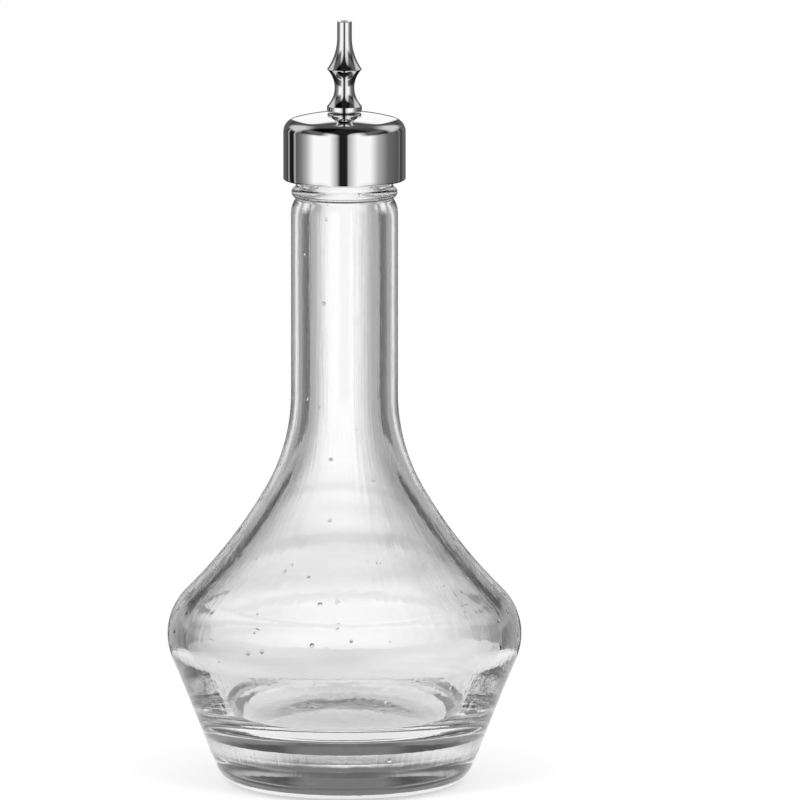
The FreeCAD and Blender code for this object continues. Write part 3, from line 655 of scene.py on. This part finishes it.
# %% The soft and moulded finishes
def make_moulded(name, colour, roughness, grain, depth):
    """A dull surface with a fine grain."""
    material, tree, shader, spot = new_finish(name)
    speck = add_node(tree, "ShaderNodeTexNoise", Vector=spot, Scale=grain, Detail=3.0, Roughness=0.6)
    darker = [0.93 * part for part in colour]
    tint = add_tint(tree, speck.outputs["Fac"], darker, colour)
    tree.links.new(tint, shader.inputs["Base Color"])
    dull = add_ramp(tree, speck.outputs["Fac"], [(0.3, roughness), (0.7, roughness + 0.12)])
    tree.links.new(dull, shader.inputs["Roughness"])
    bump = add_node(tree, "ShaderNodeBump", Strength=0.25, Distance=depth, Height=speck.outputs["Fac"])
    tree.links.new(bump.outputs["Normal"], shader.inputs["Normal"])
    return material


dress(thread_liner, make_moulded("liner_plastic", (0.86, 0.86, 0.84), 0.4, 1800.0, 0.00005))
rubber = make_moulded("soft_seal", (0.82, 0.83, 0.82), 0.55, 900.0, 0.00008)
rubber_shader = rubber.node_tree.nodes["Principled BSDF"]
rubber_shader.inputs["Subsurface Weight"].default_value = 0.15
rubber_shader.inputs["Subsurface Radius"].default_value = (0.001, 0.001, 0.001)
dress(seal_washer, rubber)
dress(spout_gasket, rubber)

# %% [markdown]
# ## The table
# The bottle stands on a round white table top. The camera sees it white and keeps the soft shadow of the
# bottle. Glass and metal see it as an even white card.

# %% The table top
TABLE_RADIUS, TABLE_DROP = 0.123, 0.0003
TABLE_GREY, TABLE_GLOW, TABLE_CARD = 0.68, 0.5, 0.94
WHITE = (1, 1, 1, 1)
table = bmesh.new()
bmesh.ops.create_circle(table, cap_ends=True, radius=TABLE_RADIUS, segments=96)
table_mesh = bpy.data.meshes.new("table_top")
table.to_mesh(table_mesh)
table.free()
table_top = bpy.data.objects.new("table_top", table_mesh)
table_top.location.z = -TABLE_DROP
scene.collection.objects.link(table_top)

white_table = bpy.data.materials.new("white_table")
white_table.use_nodes = True
tree = white_table.node_tree
tree.nodes.clear()
path = add_node(tree, "ShaderNodeLightPath")
clear_ray = add_sum(
    tree, "MAXIMUM", path.outputs["Is Transmission Ray"], path.outputs["Is Glossy Ray"],
)
matt = add_node(tree, "ShaderNodeBsdfDiffuse", Color=(TABLE_GREY, TABLE_GREY, TABLE_GREY, 1))
lift = add_node(tree, "ShaderNodeEmission", Color=WHITE, Strength=TABLE_GLOW)
lit = add_node(tree, "ShaderNodeAddShader")
tree.links.new(matt.outputs[0], lit.inputs[0])
tree.links.new(lift.outputs[0], lit.inputs[1])
card = add_node(tree, "ShaderNodeEmission", Color=WHITE, Strength=TABLE_CARD)
both = add_node(tree, "ShaderNodeMixShader", Fac=clear_ray)
tree.links.new(lit.outputs[0], both.inputs[1])
tree.links.new(card.outputs[0], both.inputs[2])
out = add_node(tree, "ShaderNodeOutputMaterial")
tree.links.new(both.outputs[0], out.inputs["Surface"])
table_mesh.materials.append(white_table)
print(f"table: {2 * TABLE_RADIUS:.3f} m across")

# %% [markdown]
# ## The studio round the bottle
# A photographer of glass works with cards: white behind the bottle, dark at the sides, so that the edges of
# the glass draw themselves as dark lines. Metal wants two soft boxes in front with a dark gap between them.
# The world plays those cards here, by the direction of the ray: glass sees the cards for glass, metal sees
# the boxes, and the camera sees plain white.

# %% Directions in degrees
world = bpy.data.worlds.new("studio")
scene.world = world
world.use_nodes = True
tree = world.node_tree
way = add_node(tree, "ShaderNodeTexCoord").outputs["Generated"]
parts = add_node(tree, "ShaderNodeSeparateXYZ", Vector=way)
across, away, up = parts.outputs
nearer = add_sum(tree, "MULTIPLY", away, -1.0)
from_back = add_sum(tree, "DEGREES", add_sum(tree, "ARCTAN2", add_sum(tree, "ABSOLUTE", across), away))
from_front = add_sum(tree, "DEGREES", add_sum(tree, "ARCTAN2", across, nearer))
over_head = add_sum(tree, "DEGREES", add_sum(tree, "ARCTAN2", up, nearer))
height = add_sum(tree, "DEGREES", add_sum(tree, "ARCSINE", up))
print("directions: from the back, from the front, over the head and by height")

# %% [markdown]
# ### Tools for cards
# A card fades at its edges, so its brightness is read from an angle. One helper rescales an angle, one blends
# two brightnesses, and one reads a row of cards.

# %% Card helpers
def rescale(given, low, high, to_low=0.0, to_high=1.0):
    """Turn the range from low to high into another, and stay inside it."""
    node = add_node(
        tree, "ShaderNodeMapRange", {"interpolation_type": "LINEAR"}, Value=given,
        From_Min=low, From_Max=high, To_Min=to_low, To_Max=to_high,
    )
    return node.outputs["Result"]


def blend(part, first, second):
    """The first brightness where part is 0, and the second where it is 1."""
    node = add_node(tree, "ShaderNodeMix", {"data_type": "FLOAT"})
    for socket, given in ((node.inputs[0], part), (node.inputs[2], first), (node.inputs[3], second)):
        if isinstance(given, bpy.types.NodeSocket):
            tree.links.new(given, socket)
        else:
            socket.default_value = given
    return node.outputs[0]


def cards_at(given, stops):
    """Brightness by an angle: stops are pairs of degrees and brightness."""
    low, high = stops[0][0], stops[-1][0]
    places = [((degrees - low) / (high - low), level) for degrees, level in stops]
    return add_ramp(tree, rescale(given, low, high), places)


# %% [markdown]
# ### Cards for glass
# The cards stand in a ring: a white backdrop that falls off to its sides, a dark flag, a white card at each
# side and a white front with the dark camera in it. The right of the backdrop is a little dimmer. Over them
# hangs a dark ceiling, and cards that lie lower down keep the edges drawn when the camera looks from above.

# %% Cards for glass
BACKDROP = [(0, 1.1), (6, 0.98), (10, 0.78), (14, 0.58), (20, 0.42), (35, 0.33)]
DARK_FLAG = [(42, 0.18), (57, 0.17), (63, 0.12), (72, 0.2)]
SIDE_CARD = [(80, 0.9), (100, 0.9), (108, 0.3)]
FRONT_CARD = [(120, 1.0), (158, 1.0), (168, 0.3), (172, 0.03), (180, 0.03)]
walls = cards_at(from_back, BACKDROP + DARK_FLAG + SIDE_CARD + FRONT_CARD)
sideways = add_sum(tree, "DEGREES", add_sum(tree, "ARCTAN2", across, away))
dim_side = cards_at(sideways, [(-180, 1.0), (2, 1.0), (6, 0.78), (16, 0.78), (24, 1.0), (180, 1.0)])
walls = add_sum(tree, "MULTIPLY", walls, dim_side)
overhead = cards_at(height, [(0, 0.1), (11.8, 0.1), (13, 0.16), (90, 0.16)])
beside = cards_at(height, [(0, 0.5), (6, 0.42), (9, 0.3), (12, 0.06), (19, 0.03), (28, 0.16), (90, 0.16)])
overhead = blend(rescale(from_back, 12, 20), overhead, beside)
for_glass = blend(rescale(height, 1, 3), walls, overhead)
low_walls = cards_at(from_back, [
    (0, 1.0), (10, 0.9), (20, 0.35), (30, 0.35), (37, 0.92), (53, 0.92), (61, 0.35), (74, 0.25), (90, 0.8),
    (180, 0.8),
])
for_glass = blend(rescale(height, -14, -22), for_glass, low_walls)
print("cards for glass: backdrop, flag, sides, front, ceiling and low walls")

# %% [markdown]
# ### Boxes for metal
# Two soft boxes stand in front with a dark gap between them, and narrow strips of light stand behind them at
# each side. Higher up the gap widens and the boxes end, which gives the dark fan on the cap's edge and the
# dark flares on the spout. A white card behind the bottle fills the dome, and a dimmer box beside it lights
# the dome when the bottle is seen from a corner.

# %% Boxes for metal
DARK_CEILING, BACK_BOX = 0.09, 0.6
LEFT_STRIPS = [
    (-180, 0.13), (-143, 0.1), (-136, 0.01), (-131, 0.4), (-125, 0.01), (-113, 0.01), (-108, 0.5),
    (-104, 0.1),
]
LEFT_BOX = [(-90, 0.2), (-77, 0.43), (-60, 1.0), (-28, 1.0), (-15, 0.46)]
GAP = [(-9, 0.015), (5, 0.015)]
RIGHT_BOX = [(7, 0.42), (25, 1.0), (50, 1.0), (67, 0.43), (90, 0.15)]
RIGHT_STRIPS = [(122, 0.09), (126, 0.19), (133, 0.03), (147, 0.14), (180, 0.1)]
narrowed = add_sum(tree, "MULTIPLY", from_front, rescale(height, 25, 50, 1.0, 0.1))
boxes = cards_at(narrowed, LEFT_STRIPS + LEFT_BOX + GAP + RIGHT_BOX + RIGHT_STRIPS)
steep = rescale(add_sum(tree, "ABSOLUTE", height), 12, 22)
ends = rescale(add_sum(tree, "ABSOLUTE", from_front), 28, 48, 1.0, 0.12)
boxes = add_sum(tree, "MULTIPLY", boxes, blend(steep, 1.0, ends))
ceiling = add_sum(tree, "MULTIPLY", rescale(over_head, 98, 108), rescale(height, 12, 30))
for_metal = blend(ceiling, boxes, DARK_CEILING)
back_box = add_sum(tree, "MULTIPLY", rescale(from_back, 28, 40), rescale(from_back, 85, 70))
back_box = add_sum(tree, "MULTIPLY", back_box, rescale(height, 12, 22))
back_box = add_sum(tree, "MULTIPLY", back_box, rescale(height, 60, 45, 0.0, BACK_BOX))
for_metal = blend(back_box, for_metal, 1.0)
lean = add_sum(tree, "SUBTRACT", from_back, add_sum(tree, "MULTIPLY", height, 0.2))
card = add_sum(tree, "MULTIPLY", rescale(lean, 5.0, 3.2), rescale(height, 2, 5))
card = add_sum(tree, "MULTIPLY", card, rescale(height, 34, 31))
for_metal = blend(card, for_metal, 1.0)
print("boxes for metal: two in front, strips beside them, and a card and a box behind")

# %% [markdown]
# ### One world for every ray
# The last bounce of a ray decides which cards it sees. Light turns many times inside a thick glass base, so
# the renderer may follow it for more turns than it does by default.

# %% Put the rays together
GREY_ROOM, LIGHT_TURNS = 0.6, 16
path = add_node(tree, "ShaderNodeLightPath").outputs
level = blend(path["Is Glossy Ray"], GREY_ROOM, for_metal)
level = blend(path["Is Transmission Ray"], level, for_glass)
level = blend(path["Is Camera Ray"], level, 1.0)
tree.links.new(level, tree.nodes["Background"].inputs["Color"])
scene.cycles.max_bounces = LIGHT_TURNS
scene.cycles.glossy_bounces = LIGHT_TURNS
scene.cycles.transmission_bounces = LIGHT_TURNS
print("world:", len(tree.nodes), "nodes, and up to", LIGHT_TURNS, "turns of light in the glass")

# %% [markdown]
# ## Two soft lamps
# The lamps only shape the shadow and the plastic. They are large and near, so their shadows are soft, and
# they stay out of the mirror, where the world already draws the boxes.

# %% The lamps
def add_lamp(name, place, aim, width, tall, watts):
    """Hang a flat lamp that points at its aim and shows in nothing."""
    lamp = bpy.data.lights.new(name, "AREA")
    lamp.shape = "RECTANGLE"
    lamp.size, lamp.size_y = width, tall
    lamp.energy = watts
    holder = bpy.data.objects.new(name, lamp)
    scene.collection.objects.link(holder)
    holder.location = place
    holder.rotation_euler = (Vector(aim) - Vector(place)).to_track_quat("-Z", "Y").to_euler()
    holder.visible_camera = False
    holder.visible_glossy = False
    holder.visible_transmission = False
    print(f"{name}: {watts} W at {tuple(place)}")


LAMP_SIDE, LAMP_NEAR, LAMP_UP, AIM_AT = 0.45, 0.55, 0.5, (0, 0, 0.06)
LAMP_WIDE, LAMP_TALL, LAMP_WATTS = 0.4, 0.6, 3.0
for name, side in (("left_box", -LAMP_SIDE), ("right_box", LAMP_SIDE)):
    add_lamp(name, (side, -LAMP_NEAR, LAMP_UP), AIM_AT, LAMP_WIDE, LAMP_TALL, LAMP_WATTS)

# %% [markdown]
# ## The camera
# The photograph looks down at about nine degrees from far away with a long lens. The bottle stands left of
# the middle of the picture, so the lens is shifted a little. The picture is 800 pixels wide, and one pixel
# is the body's radius over the pixels that it covers.

# %% The camera
PICTURE, BODY_PIXELS, AXIS_PIXEL, LEVEL_PIXEL = 800, 177.35, 344.5, 406.2
FAR_PIXELS, AIM_PIXELS = 13750, 380
SENSOR, LOOK_DOWN = 36, 8.84
PIXEL = BODY * MM / BODY_PIXELS
DISTANCE, DOWN, AIM_UP = FAR_PIXELS * PIXEL, math.radians(LOOK_DOWN), AIM_PIXELS * PIXEL
lens = bpy.data.cameras.new("camera")
camera = bpy.data.objects.new("camera", lens)
scene.collection.objects.link(camera)
camera.location = (0, -DISTANCE * math.cos(DOWN), AIM_UP + DISTANCE * math.sin(DOWN))
camera.rotation_euler = (math.pi / 2 - DOWN, 0, 0)
lens.sensor_width = SENSOR
lens.lens = SENSOR * FAR_PIXELS / PICTURE
lens.shift_x = (PICTURE / 2 - AXIS_PIXEL) / PICTURE
lens.shift_y = (LEVEL_PIXEL - PICTURE / 2) / PICTURE
lens.clip_start, lens.clip_end = 0.1, 50
scene.camera = camera
print(f"camera: {DISTANCE:.3f} m away, {lens.lens:.0f} mm lens")
